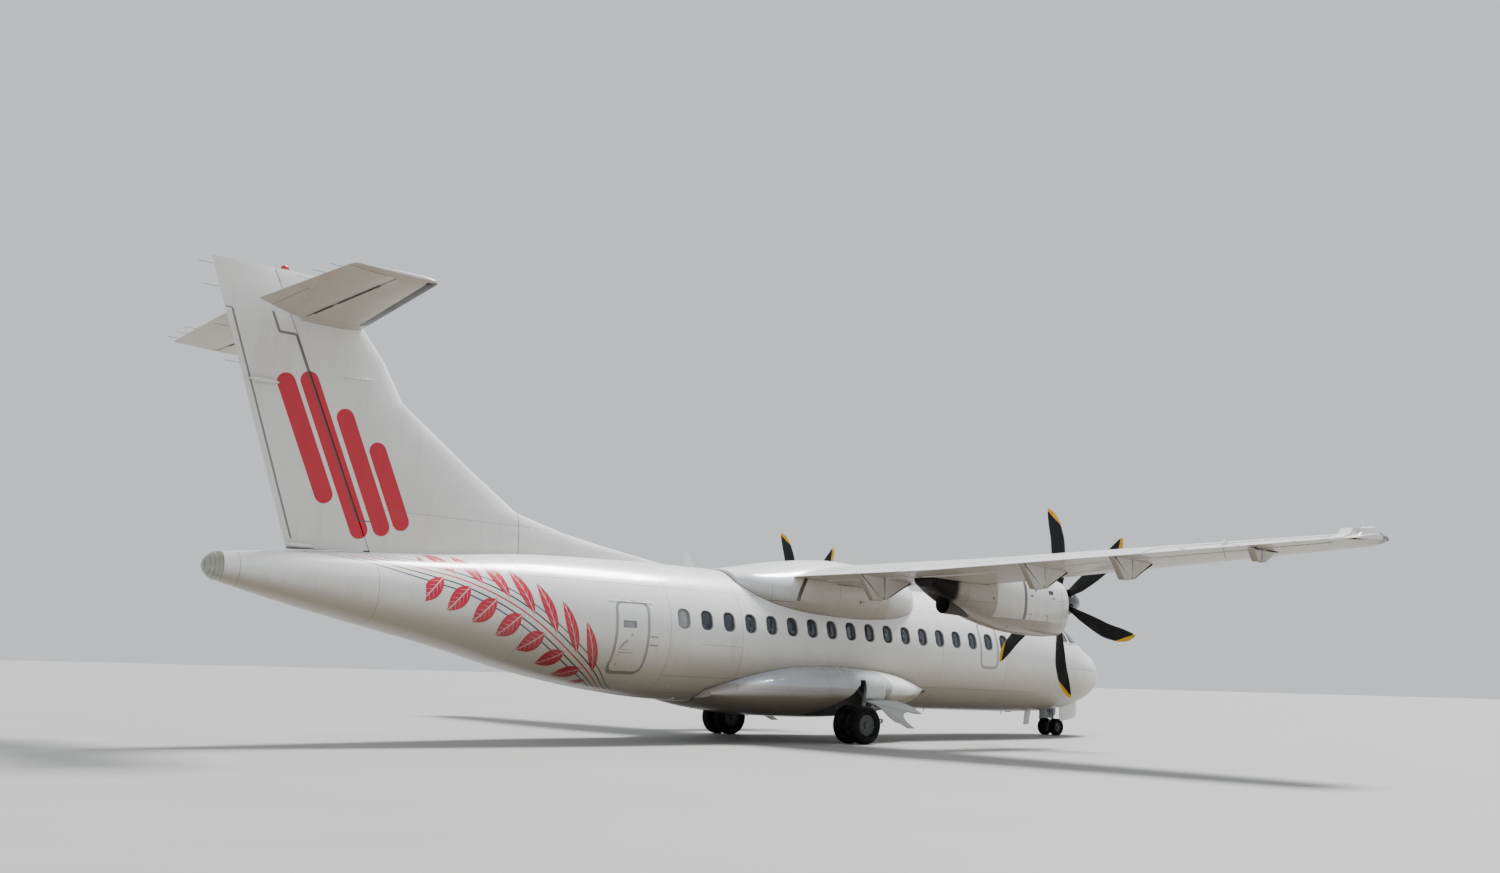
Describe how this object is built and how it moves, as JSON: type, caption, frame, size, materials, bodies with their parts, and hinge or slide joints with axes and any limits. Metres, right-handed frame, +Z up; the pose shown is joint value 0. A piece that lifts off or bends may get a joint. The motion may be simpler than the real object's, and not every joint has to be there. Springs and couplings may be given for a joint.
{
  "type": "turboprop airliner",
  "caption": "High-wing twin turboprop regional airliner with T-tail, six-bladed propellers, turning wheels, hinged control surfaces, flaps and doors.",
  "frame": {"origin": "on the ground plane under the middle of the airliner's bounding box", "axes": "+X to the nose, +Y to port along the wing span, +Z up"},
  "size_m": [22.6769, 24.57, 7.6539],
  "materials": {
    "white": "white gloss paint over aluminium",
    "white_composite": "white gloss paint over fibre composite",
    "grey": "light grey paint over fibre composite",
    "glass": "dark tinted glass",
    "lens": "clear cover over a grey lamp housing",
    "leg": "grey paint over steel",
    "engine_block": "plain",
    "wheel": "dull grey",
    "blade": "black composite",
    "tyre": "worn rubber"
  },
  "bodies": {
    "airframe": {"fuselage": "white", "windscreen": "glass", "tail_lens": "lens", "exit_hatch_left": "white", "exit_hatch_right": "white", "wing": "white", "wing_fairing": "white_composite", "gear_fairing": "grey", "fin": "white_composite", "dorsal_fin": "white_composite", "fin_tip": "white_composite", "tailplane": "white_composite", "nose_leg": "leg", "nose_door_left": "white_composite", "nose_door_right": "white_composite", "nacelle_left": "white_composite", "nacelle_right": "white_composite", "engine_left": "engine_block", "engine_right": "engine_block", "main_leg_left": "leg", "main_leg_right": "leg", "main_gear_door_left": "grey", "main_gear_door_right": "grey"},
    "propeller_left": {"spinner_left": "blade", "blades_left": "blade"},
    "main_wheel_pair_left": {"main_wheels_left": "wheel", "main_tyre_outer_left": "tyre", "main_tyre_inner_left": "tyre"},
    "propeller_right": {"spinner_right": "blade", "blades_right": "blade"},
    "main_wheel_pair_right": {"main_wheels_right": "wheel", "main_tyre_outer_right": "tyre", "main_tyre_inner_right": "tyre"},
    "nose_gear_steered": {"nose_knuckle": "leg"},
    "nose_wheel_pair": {"nose_wheels": "wheel", "nose_tyre_left": "tyre", "nose_tyre_right": "tyre"},
    "rudder_surface": {"rudder": "white_composite"},
    "elevator_surface_left": {"elevator_left": "white_composite"},
    "aileron_surface_left": {"aileron_left": "white_composite"},
    "inner_flap_left_surface": {"inner_flap_left": "white_composite"},
    "outer_flap_left_surface": {"outer_flap_left": "white_composite"},
    "elevator_surface_right": {"elevator_right": "white_composite"},
    "aileron_surface_right": {"aileron_right": "white_composite"},
    "inner_flap_right_surface": {"inner_flap_right": "white_composite"},
    "outer_flap_right_surface": {"outer_flap_right": "white_composite"},
    "passenger_door_leaf": {"passenger_door": "white"},
    "cargo_door_leaf": {"cargo_door": "white"},
    "service_door_leaf": {"service_door": "white"}
  },
  "joints": [
    {"name": "propeller_left_spin", "type": "hinge", "parent": "airframe", "child": "propeller_left", "pos_m": [4.89333, 4.05, 2.94787], "axis": [0.9998, 0, -0.0175], "continuous": true},
    {"name": "main_wheels_left_spin", "type": "hinge", "parent": "airframe", "child": "main_wheel_pair_left", "pos_m": [1.08485, 2.05, 0.37494], "axis": [0, 1, 0], "continuous": true},
    {"name": "propeller_right_spin", "type": "hinge", "parent": "airframe", "child": "propeller_right", "pos_m": [4.89333, -4.05, 2.94787], "axis": [0.9998, 0, -0.0175], "continuous": true},
    {"name": "main_wheels_right_spin", "type": "hinge", "parent": "airframe", "child": "main_wheel_pair_right", "pos_m": [1.08485, -2.05, 0.37494], "axis": [0, 1, 0], "continuous": true},
    {"name": "nose_steering", "type": "hinge", "parent": "airframe", "child": "nose_gear_steered", "pos_m": [9.87169, 0, 0.69062], "axis": [0.0175, 0, 0.9998], "range_deg": [-60, 60]},
    {"name": "nose_wheels_spin", "type": "hinge", "parent": "nose_gear_steered", "child": "nose_wheel_pair", "pos_m": [9.86322, 0, 0.20497], "axis": [0, 1, 0], "continuous": true},
    {"name": "rudder_hinge", "type": "hinge", "parent": "airframe", "child": "rudder_surface", "pos_m": [-9.3615, 0, 5.248], "axis": [-0.3867, 0, 0.9222], "range_deg": [-27, 27]},
    {"name": "elevator_left_hinge", "type": "hinge", "parent": "airframe", "child": "elevator_surface_left", "pos_m": [-9.91038, 1.835, 6.93283], "axis": [0, 1, 0], "range_deg": [-13, 23]},
    {"name": "aileron_left_hinge", "type": "hinge", "parent": "airframe", "child": "aileron_surface_left", "pos_m": [1.15509, 10.4275, 3.50016], "axis": [0.0791, 0.9963, 0.0333], "range_deg": [-14, 14]},
    {"name": "inner_flap_left_hinge", "type": "hinge", "parent": "airframe", "child": "inner_flap_left_surface", "pos_m": [0.74621, 2.305, 2.86006], "axis": [0, -1, 0], "range_deg": [0, 35]},
    {"name": "outer_flap_left_hinge", "type": "hinge", "parent": "airframe", "child": "outer_flap_left_surface", "pos_m": [0.95981, 7.6, 3.03256], "axis": [-0.0787, -0.9949, -0.0636], "range_deg": [0, 35]},
    {"name": "elevator_right_hinge", "type": "hinge", "parent": "airframe", "child": "elevator_surface_right", "pos_m": [-9.91038, -1.835, 6.93283], "axis": [0, 1, 0], "range_deg": [-13, 23]},
    {"name": "aileron_right_hinge", "type": "hinge", "parent": "airframe", "child": "aileron_surface_right", "pos_m": [1.15509, -10.4275, 3.50016], "axis": [-0.0791, 0.9963, -0.0333], "range_deg": [-14, 14]},
    {"name": "inner_flap_right_hinge", "type": "hinge", "parent": "airframe", "child": "inner_flap_right_surface", "pos_m": [0.74621, -2.305, 2.86006], "axis": [0, -1, 0], "range_deg": [0, 35]},
    {"name": "outer_flap_right_hinge", "type": "hinge", "parent": "airframe", "child": "outer_flap_right_surface", "pos_m": [0.95981, -7.6, 3.03256], "axis": [0.0787, -0.9949, 0.0636], "range_deg": [0, 35]},
    {"name": "passenger_door_hinge", "type": "hinge", "parent": "airframe", "child": "passenger_door_leaf", "pos_m": [-3.90745, 1.10802, 1.31821], "axis": [-0.9998, 0, 0.0175], "range_deg": [0, 125]},
    {"name": "cargo_door_hinge", "type": "hinge", "parent": "airframe", "child": "cargo_door_leaf", "pos_m": [7.1604, 1.13088, 2.67426], "axis": [0.9998, 0, -0.0175], "range_deg": [0, 105]},
    {"name": "service_door_hinge", "type": "hinge", "parent": "airframe", "child": "service_door_leaf", "pos_m": [-3.58713, -1.3665, 1.90671], "axis": [0.0175, 0, 0.9998], "range_deg": [0, 100]}
  ],
  "couplings": [
    {"joint": "elevator_right_hinge", "follows": "elevator_left_hinge", "ratio": 1},
    {"joint": "aileron_right_hinge", "follows": "aileron_left_hinge", "ratio": -1},
    {"joint": "inner_flap_left_hinge", "follows": "outer_flap_left_hinge", "ratio": 1},
    {"joint": "inner_flap_right_hinge", "follows": "outer_flap_left_hinge", "ratio": 1},
    {"joint": "outer_flap_right_hinge", "follows": "outer_flap_left_hinge", "ratio": 1}
  ]
}
